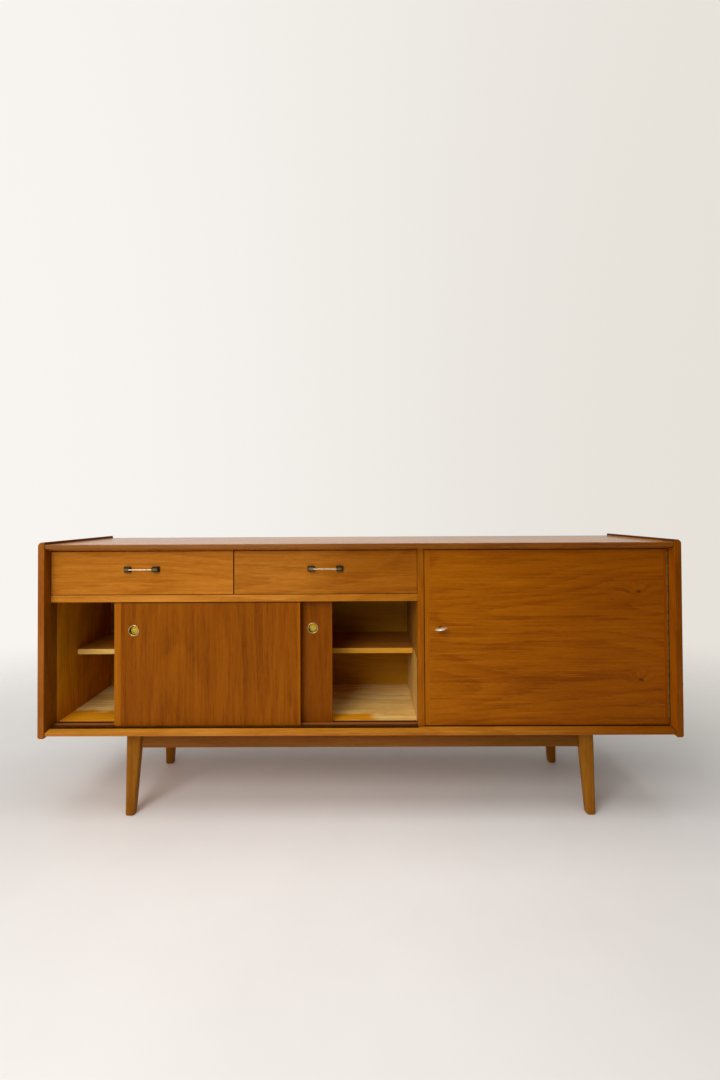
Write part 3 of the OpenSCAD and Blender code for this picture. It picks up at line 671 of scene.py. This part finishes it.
def key_shape():
    """A lens-shaped bow, two turned collars, a round shank and a small bit."""
    low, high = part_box("key")
    centre = Vector(((low.x + high.x) / 2, 0.0, (low.z + high.z) / 2))
    bow_y = low.y + BOW_DEEP
    rings = []
    for i in range(BOW_STEPS + 1):
        x = -BOW_HALF * math.cos(math.pi * i / BOW_STEPS)
        swell = max(1 - (x / BOW_HALF) ** 2, 0.0)
        deep = max(BOW_DEEP * swell ** 0.9, 0.5 * MM)
        thick = max(BOW_THICK * swell ** 0.3, 0.5 * MM)
        ring = []
        for k in range(BOW_STEPS):
            angle = 2 * math.pi * k / BOW_STEPS
            u, v = math.cos(angle), math.sin(angle)
            ring.append(Vector((x, bow_y + deep * math.copysign(abs(u) ** 0.75, u),
                                thick * math.copysign(abs(v) ** 0.75, v))))
        rings.append(ring[::-1])
    start = bow_y + BOW_DEEP - 4 * MM
    profile = [(0.0, start), (SHANK * 0.9, start), (SHANK, start + 1 * MM), (SHANK, start + 3 * MM)]
    for at in (4.2 * MM, 6.8 * MM):
        profile += arc((SHANK, start + at), 1.2 * MM, -90, 90, 6)
    profile += [(SHANK, high.y - 0.6 * MM), (SHANK - 0.6 * MM, high.y), (0.0, high.y)]
    bit_low = Vector((SHANK * 0.5, high.y - 7.5 * MM, -1.2 * MM))
    bit_high = Vector((6.5 * MM, high.y - 2.5 * MM, 1.2 * MM))
    ring = rounded_ring((bit_low.y, bit_low.z), (bit_high.y, bit_high.z), 0.4 * MM, 2)
    bit = loft([[Vector((x, u, v)) for u, v in ring] for x in (bit_low.x, bit_high.x)])
    points, faces = join_shapes([loft(rings), turned(profile, Vector((0, 0, 0)), 32), bit])
    tilt = Matrix.Translation(centre) @ Matrix.Rotation(-KEY_TILT, 4, "Y")
    return [tilt @ p for p in points], faces


def key_silver():
    """Worn silver plate on the bow, and blackened steel on the shank and its collars."""
    graph = Graph(bpy.data.materials.new("silver"))
    place = graph.place()
    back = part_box("key")[0].y + 2 * BOW_DEEP
    dark = graph.span(graph.parts(place)[1], back - 4.5 * MM, back - 3 * MM)
    marks = graph.span(graph.noise(place, 190.0, 4.0, 0.6), 0.42, 0.70, 0.0, 0.4)
    plate = graph.blend(marks, linear(255, 250, 218), linear(206, 196, 160))
    graph.set(Base_Color=graph.blend(dark, plate, linear(34, 30, 22)), Metallic=0.75)
    graph.set(Roughness=graph.math("MULTIPLY_ADD", marks, 0.3, 0.36))
    return graph.owner


# ---- The boards and their woods ----

BLOND = (255, 212, 126)
SHELF = (176, 112, 36)
OAK = (206, 170, 120)
PLY = (214, 180, 132)
LINING = (214, 138, 16)
PAINTED_LIT_LINING = (226, 180, 96)
LEG_WOOD = (146, 90, 18)
APRON_WOOD = (136, 82, 30)
PANEL_WOOD = (150, 84, 22)
VARNISH = (240, 158, 24)
RIM = (84, 44, 12)
TO_RIGHT = (0.76, 0.68, 0.35)

DARK_STRIP = 70 * MM
SKIN = 1 * MM
EDGE_SKIN = 1.5 * MM
VARNISH_STRAY = 100 * MM
LEGS = ("front_left_leg", "front_right_leg", "rear_left_leg", "rear_right_leg")
SIDES = ("left", "right")


def skin(at):
    """The thin layer on both sides of a face."""
    return (at - SKIN, at + SKIN)


def board_woods():
    """The Wood of each board. Their order sets the seeds of the grain, so it stays as it is."""
    left_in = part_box("left_side_panel")[1].x
    right_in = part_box("right_side_panel")[0].x
    divider_low, divider_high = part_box("centre_divider")
    lined_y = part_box("left_side_panel")[0].y + DARK_STRIP
    bottom_low, bottom_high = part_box("bottom_panel")
    top_low, top_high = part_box("top_panel")
    floor_z = bottom_high.z - SKIN
    rim_z = top_high.z + SKIN
    deck_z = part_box("drawer_deck")[0].z
    track_low, track_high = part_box("bottom_track")
    front_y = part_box("left_drawer_front")[0].y
    shelf_low, shelf_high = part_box("left_bay_shelf")

    # Inside the case: pale linings behind a dark strip along the front
    lined = (lined_y, FAR)
    left_lining = zone(LINING, x=skin(left_in), y=lined, z=(floor_z, deck_z))
    right_lining = zone(LINING, x=skin(right_in), y=lined, z=(floor_z, FAR))
    # Painted light: the divider's face towards the bay is paler than the other linings, standing in for the
    # window's light and sheen on it
    bay_wall_painted_light = zone(PAINTED_LIT_LINING, x=skin(divider_low.x), y=lined, z=(-FAR, deck_z))
    # Painted shade: the same face is darker above the shelf, where less light reaches
    upper_wall_painted_shade = zone((164, 112, 38), x=skin(divider_low.x), y=lined, z=(shelf_high.z, deck_z))
    cupboard_wall = zone(LINING, x=skin(divider_high.x), y=lined)
    ceiling = zone(LINING, y=lined, z=(-FAR, top_low.z + SKIN))
    left_strip = zone((138, 78, 10), x=(left_in - SKIN, 0), y=(-FAR, lined_y))
    right_strip = zone((155, 82, 4), x=(0, right_in + SKIN), y=(-FAR, lined_y))
    left_rim = zone(RIM, x=(left_in - SKIN, 0), z=(rim_z, FAR))
    right_rim = zone(RIM, x=(0, right_in + SKIN), z=(rim_z, FAR))
    back_face = zone((158, 106, 52), y=(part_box("left_back_panel")[1].y - SKIN, FAR))

    # The floors: pale and worn, with orange varnish left along the front of the bay, deeper at the left
    bay_floor = zone(BLOND, x=(left_in, divider_low.x), y=(track_high.y, FAR), z=(floor_z, FAR))
    cupboard_floor = zone(BLOND, x=(divider_high.x, FAR), y=lined, z=(floor_z, FAR))
    varnish_y = track_high.y - WORN_SOFT
    left_varnish = zone(VARNISH, x=(-FAR, -0.45), y=(varnish_y, track_high.y + 105 * MM), stray=VARNISH_STRAY)
    right_varnish = zone(VARNISH, x=(-FAR, 0.07), y=(varnish_y, track_high.y + 72 * MM), stray=VARNISH_STRAY)

    # The front edges of the boards
    # Painted shade: the top's front face is darker, standing in for a face that turns down away from the
    # light
    nose_painted_shade = zone((136, 78, 2), y=(-FAR, top_low.y + 2.5 * MM))
    # Painted light: the underside of the top's nose is lighter, standing in for light thrown up from the
    # floor
    under_nose_painted_bounce_light = zone((196, 122, 36), y=(-FAR, front_y), z=(-FAR, top_low.z + 8.5 * MM))
    band_top = zone((196, 130, 38), y=(-FAR, track_high.y - 40 * MM), z=(bottom_low.z + 10 * MM, FAR))
    # Painted shade: the partition's front edge, seen in the gap between the drawers, is near black
    partition_edge_painted_shade = zone((16, 8, 2), y=(-FAR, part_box("drawer_partition")[0].y + EDGE_SKIN))
    # Painted light: the left shelf's edge is paler than the other shelves' edges, as if more lit
    left_shelf_edge_painted_light = zone((250, 206, 112), y=(-FAR, shelf_low.y + EDGE_SKIN))
    shelf_edge = zone((226, 160, 46), y=(-FAR, shelf_low.y + EDGE_SKIN))
    far_lipping = zone((156, 84, 3), x=((left_in + divider_low.x) / 2, FAR))

    # Painted shade: dark lines along the joints and gaps in front of the doors and drawers, in the track's
    # grooves and along its front, and at the ends of the front edges next to the side panels
    joint_shade_y = (front_y - 4 * MM, front_y + 4 * MM)
    joint_painted_shade = zone((70, 36, 5), y=joint_shade_y, z=(floor_z, FAR))
    bay_shade_y = (front_y - 10 * MM, front_y + 4 * MM)
    bay_painted_shade = zone((58, 28, 4), x=(-FAR, divider_low.x), y=bay_shade_y, z=(floor_z - 2 * MM, FAR))
    groove_painted_shade = zone((62, 30, 12), z=(-FAR, floor_z - 0.5 * MM))
    track_front_painted_shade = zone((58, 28, 4), y=(-FAR, track_low.y + 3 * MM))
    left_end_painted_shade = zone((60, 26, 3), x=(-FAR, left_in + 2.5 * MM), y=(-FAR, front_y - 4 * MM))
    right_end_painted_shade = zone((46, 18, 2), x=(right_in - 2.5 * MM, FAR), y=(-FAR, front_y - 4 * MM))

    bottom_zones = [bay_floor, left_varnish, right_varnish, band_top, joint_painted_shade, bay_painted_shade, cupboard_floor,
                    left_end_painted_shade, right_end_painted_shade]
    top_zones = [ceiling, nose_painted_shade, under_nose_painted_bounce_light, left_end_painted_shade, right_end_painted_shade]
    woods = {
        "left_side_panel": Wood("z", PANEL_WOOD, zones=[left_lining, left_strip, left_rim]),
        "right_side_panel": Wood("z", (126, 64, 3), zones=[right_lining, right_strip, right_rim]),
        "top_panel": Wood("x", (186, 116, 36), rough=0.28, shine=0.35, coat=0.32, zones=top_zones,
                          fade=(-0.2, 0.6, (0.86, 0.78, 0.60))),
        "bottom_panel": Wood("x", (184, 114, 38), zones=bottom_zones, fade=(0.15, 0.95, (0.48, 0.34, 0.08))),
        "centre_divider": Wood("z", (158, 88, 6), zones=[bay_wall_painted_light, upper_wall_painted_shade, cupboard_wall]),
        "drawer_deck": Wood("x", (190, 119, 34), fade=(-0.3, 0.1, TO_RIGHT)),
        "bay_partition": Wood("z", LINING, 0.6, 0.5),
        "drawer_partition": Wood("x", LINING, 0.6, 0.5, zones=[partition_edge_painted_shade]),
        "left_back_panel": Wood("x", (188, 132, 24), 0.5, 0.6, 0.55, zones=[back_face]),
        "right_back_panel": Wood("x", (188, 132, 24), 0.5, 0.6, 0.55, zones=[back_face]),
        "bottom_track": Wood("x", (150, 88, 34), 0.6, 0.3, zones=[groove_painted_shade, track_front_painted_shade]),
        "top_track": Wood("x", (110, 64, 28), 0.6, 0.3),
        "left_bay_shelf": Wood("x", SHELF, 0.6, 0.6, zones=[left_shelf_edge_painted_light]),
        "right_bay_shelf": Wood("x", SHELF, 0.6, 0.6, zones=[shelf_edge]),
        "cupboard_shelf": Wood("x", SHELF, 0.6, 0.6, zones=[shelf_edge]),
        "drawer_runners": Wood("y", OAK, 0.6, 0.3),
        "door_stop": Wood("x", OAK, 0.6, 0.3),
        "front_apron": Wood("x", APRON_WOOD, 0.8, 0.6, fade=(0.1, 0.6, (0.72, 0.72, 0.45))),
        "rear_apron": Wood("x", APRON_WOOD, 0.8, 0.6),
        "left_side_apron": Wood("y", APRON_WOOD, 0.8, 0.6),
        "right_side_apron": Wood("y", APRON_WOOD, 0.8, 0.6),
        "left_drawer_front": Wood("x", (181, 109, 26), 0.95),
        "right_drawer_front": Wood("x", (176, 106, 26), 1.1, fade=(-0.2, 0.05, TO_RIGHT)),
        "left_sliding_door": Wood("z", (140, 74, 3), 1.1),
        "right_sliding_door": Wood("z", (132, 67, 2), 1.1),
        "left_sliding_door_edges": Wood("z", (168, 96, 9), 0.7, 0.4, zones=[far_lipping]),
        "right_sliding_door_edges": Wood("z", (140, 74, 3), 0.7, 0.4),
        "cupboard_door": Wood("x", (160, 88, 4), 1.2, fade=(0.30, 0.80, TO_RIGHT)),
        "cupboard_door_edges": Wood("z", (163, 92, 6), 0.7, 0.4, fade=(0.30, 0.80, (0.7, 0.55, 0.3))),
    }
    for side in SIDES:
        woods[side + "_drawer_outer_side"] = Wood("y", OAK, 0.6, 0.5)
        woods[side + "_drawer_inner_side"] = Wood("y", OAK, 0.6, 0.5)
        woods[side + "_drawer_back"] = Wood("x", OAK, 0.6, 0.5)
        woods[side + "_drawer_bottom"] = Wood("x", PLY, 0.5, 0.8)
    return woods


BOARD_EDGE = 0.8 * MM
ROUNDED = {"left_side_panel": 3 * MM, "right_side_panel": 3 * MM, "front_apron": 2 * MM,
           "rear_apron": 2 * MM, "drawer_deck": 1.6 * MM}
KNOTS = {"cupboard_door": [(0.885, 0.703), (0.890, 0.425)]}


def dress(node, material):
    nodes[node].data.materials.clear()
    nodes[node].data.materials.append(material)


def make_boards():
    for seed, (name, look) in enumerate(board_woods().items()):
        dress(name, wood("wood_" + name, look, seed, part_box(name), KNOTS.get(name, ())))
        round_edges(name, ROUNDED.get(name, BOARD_EDGE))


# ---- The fittings, pulls, legs and key ----

LEG_SEED = 70


def make_fittings():
    """Dresses the CAD nodes of metal and lacquer, and rounds those that are seen close by."""
    brass = metal("brass", linear(214, 176, 96), linear(140, 104, 44), 0.26, 0.7)
    aged_brass = metal("aged_brass", linear(120, 98, 52), linear(62, 58, 36), 0.42, 0.9)
    steel = metal("steel", linear(176, 174, 170), linear(112, 104, 94), 0.34, 0.6)
    lacquer = black_lacquer()
    dress("shelf_pins", brass)
    for name in ("hinge_case_leaf", "hinge_pin", "hinge_case_screws", "hinge_door_leaf", "hinge_door_screws"):
        dress(name, aged_brass)
    for name in ("strike_plate", "lock_case", "lock_bolt"):
        dress(name, steel)
        round_edges(name, 0.4 * MM, 2)
    for side in SIDES:
        dress(side + "_drawer_pull_screws", steel)
        dress(side + "_drawer_pull_blocks", lacquer)
        round_edges(side + "_drawer_pull_blocks", 1.6 * MM, 4)


def make_legs():
    for number, name in enumerate(LEGS):
        made = wood("wood_" + name, Wood("z", LEG_WOOD, 0.9, 0.6), LEG_SEED + number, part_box(name))
        add_piece(name + "_turned", leg_shape(name), "case", made, name)


def make_pulls():
    """The bars of the drawer pulls and the cups of the sliding doors."""
    plate, tarnish_and_shade = linear(232, 220, 192), linear(128, 114, 80)
    for side in SIDES:
        bar = side + "_drawer_pull_bar"
        low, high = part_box(bar)
        # The end plates past this bright middle are dulled and darkened: partly tarnish, partly painted shade
        # where they face away from the light
        bright_middle = ((low.x + high.x) / 2, (high.x - low.x) / 2 - PLATE_LENGTH)
        made = metal(bar + "_nickel", plate, tarnish_and_shade, 0.28, 0.6, (1, 14, 14), 260.0, bright_middle)
        add_piece(bar + "_shaped", pull_bar_shape(bar), side + "_drawer", made, bar)
        cup = side + "_finger_pull"
        made = finger_pull_brass(cup + "_brass", cup)
        add_piece(cup + "_cup", finger_pull_shape(cup), side + "_sliding_door", made, cup)


make_camera()
make_world()
make_light("window", *WINDOW)
make_light("ceiling", *CEILING)
make_floor()
make_boards()
make_fittings()
make_legs()
make_pulls()
add_piece("key_shaped", key_shape(), "key", key_silver(), "key")
